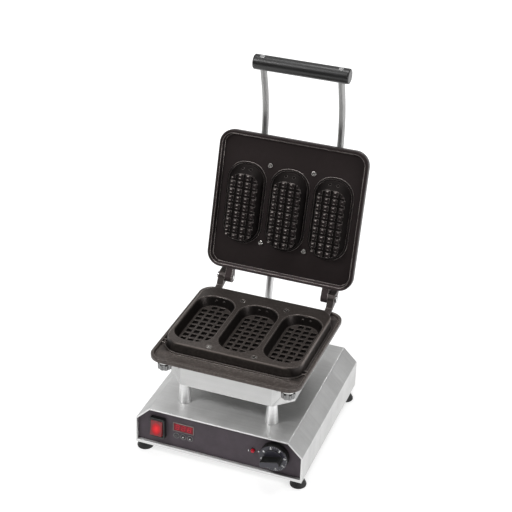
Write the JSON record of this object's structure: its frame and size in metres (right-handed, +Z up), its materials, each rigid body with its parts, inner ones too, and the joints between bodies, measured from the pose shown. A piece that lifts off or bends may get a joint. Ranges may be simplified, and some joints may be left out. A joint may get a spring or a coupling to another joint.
{
  "type": "waffle bowl iron",
  "caption": "Counter-top waffle iron with a hinged lid, oval wells and studded plugs for baking waffle bowls, on a chamfered stainless base with timer and thermostat.",
  "frame": {"origin": "on the floor under the feet, at the centre of the overall width and depth with the lid open", "axes": "+X to the right seen from the front, +Y to the back, +Z up"},
  "size_m": [0.3282, 0.4496, 0.6425],
  "materials": {
    "stainless": "long-grain brushed stainless sheet",
    "bright_sheet": "bright pressed sheet",
    "panel": "satin charcoal coating",
    "cast_plate": "cast aluminium with dark satin non-stick coating",
    "chrome": "plated",
    "steel": "turned or drawn steel, satin",
    "fasteners": "zinc plated",
    "element": "heat-tinted tube",
    "heat_plate": "as cast",
    "insulation": "mineral wool board",
    "rubber": "matt black",
    "grip": "satin black heat-resistant plastic",
    "knob": "satin dark plastic with white scale",
    "black_plastic": "satin black",
    "red_rocker": "translucent red",
    "red_lens": "translucent red",
    "display": "dark red filter",
    "trim": "light grey",
    "board": "green board with black parts",
    "inner_plastic": "plain moulding",
    "wires": "heat-resistant sleeving"
  },
  "bodies": {
    "base": {"base_shell": "stainless", "rear_panel": "stainless", "bottom_plate": "stainless", "lower_shroud": "bright_sheet", "clamp_ears": "bright_sheet", "front_panel": "panel", "lower_plate": "cast_plate", "hinge_arm_left": "cast_plate", "hinge_arm_right": "cast_plate", "hinge_pins": "chrome", "lid_stop_pins": "chrome", "lower_plate_screws": "chrome", "mains_gland": "chrome", "conduit_base_gland": "chrome", "support_posts": "steel", "clamp_studs": "steel", "wire_sleeve": "steel", "lid_conduit": "steel", "thermostat_capillary": "steel", "rear_panel_screws": "fasteners", "foot_screws": "fasteners", "post_bolts": "fasteners", "post_nuts": "fasteners", "hinge_arm_screws": "fasteners", "lower_element": "element", "lower_heat_plate": "heat_plate", "lower_insulation": "insulation", "rubber_feet": "rubber", "switch_housing": "black_plastic", "pilot_lamp_body": "black_plastic", "thermostat_body": "black_plastic", "pilot_lamp_lens": "red_lens", "timer_window": "display", "timer_trim": "trim", "timer_module": "board", "terminal_block": "inner_plastic", "power_relay": "inner_plastic", "wiring_loom": "wires"},
    "lid": {"upper_plate": "cast_plate", "upper_plate_screws": "chrome", "upper_heat_plate": "heat_plate", "upper_element": "element", "upper_insulation": "insulation", "upper_cover": "stainless", "cover_screws": "fasteners", "handle_rod_left": "steel", "handle_rod_right": "steel", "rod_clamps": "steel", "rod_clamp_screws": "fasteners", "handle_grip": "grip", "grip_screws": "chrome", "lid_gland": "chrome"},
    "rocker": {"switch_rocker": "red_rocker"},
    "knob": {"thermostat_knob": "knob", "thermostat_shaft": "steel"},
    "key_left": {"timer_button_left": "black_plastic"},
    "key_mid": {"timer_button_mid": "black_plastic"},
    "key_right": {"timer_button_right": "black_plastic"},
    "nut_left": {"thumb_nut_left": "chrome"},
    "nut_right": {"thumb_nut_right": "chrome"}
  },
  "joints": [
    {"name": "lid_hinge", "type": "hinge", "parent": "base", "child": "lid", "pos_m": [0, 0.10119, 0.2192], "axis": [1, 0, 0], "range_deg": [0, 105.5], "deforming": ["lid_conduit"]},
    {"name": "power_rocker", "type": "hinge", "parent": "base", "child": "rocker", "pos_m": [-0.1167, -0.19081, 0.0597], "axis": [1, 0, 0], "range_deg": [0, 22]},
    {"name": "thermostat_turn", "type": "hinge", "parent": "base", "child": "knob", "pos_m": [0.1086, -0.19681, 0.0624], "axis": [0, 1, 0], "range_deg": [0, 270]},
    {"name": "key_left_press", "type": "slide", "parent": "base", "child": "key_left", "axis": [0, 1, 0], "range_m": [0, 0.001], "stiffness_N_per_m": 800, "springref_m": -0.0008},
    {"name": "key_mid_press", "type": "slide", "parent": "base", "child": "key_mid", "axis": [0, 1, 0], "range_m": [0, 0.001], "stiffness_N_per_m": 800, "springref_m": -0.0008},
    {"name": "key_right_press", "type": "slide", "parent": "base", "child": "key_right", "axis": [0, 1, 0], "range_m": [0, 0.001], "stiffness_N_per_m": 800, "springref_m": -0.0008},
    {"name": "thumb_nut_left_turn", "type": "hinge", "parent": "base", "child": "nut_left", "pos_m": [-0.117, -0.16081, 0.1702], "axis": [0, 0, 1], "continuous": true},
    {"name": "thumb_nut_right_turn", "type": "hinge", "parent": "base", "child": "nut_right", "pos_m": [0.117, -0.16081, 0.1702], "axis": [0, 0, 1], "continuous": true}
  ]
}
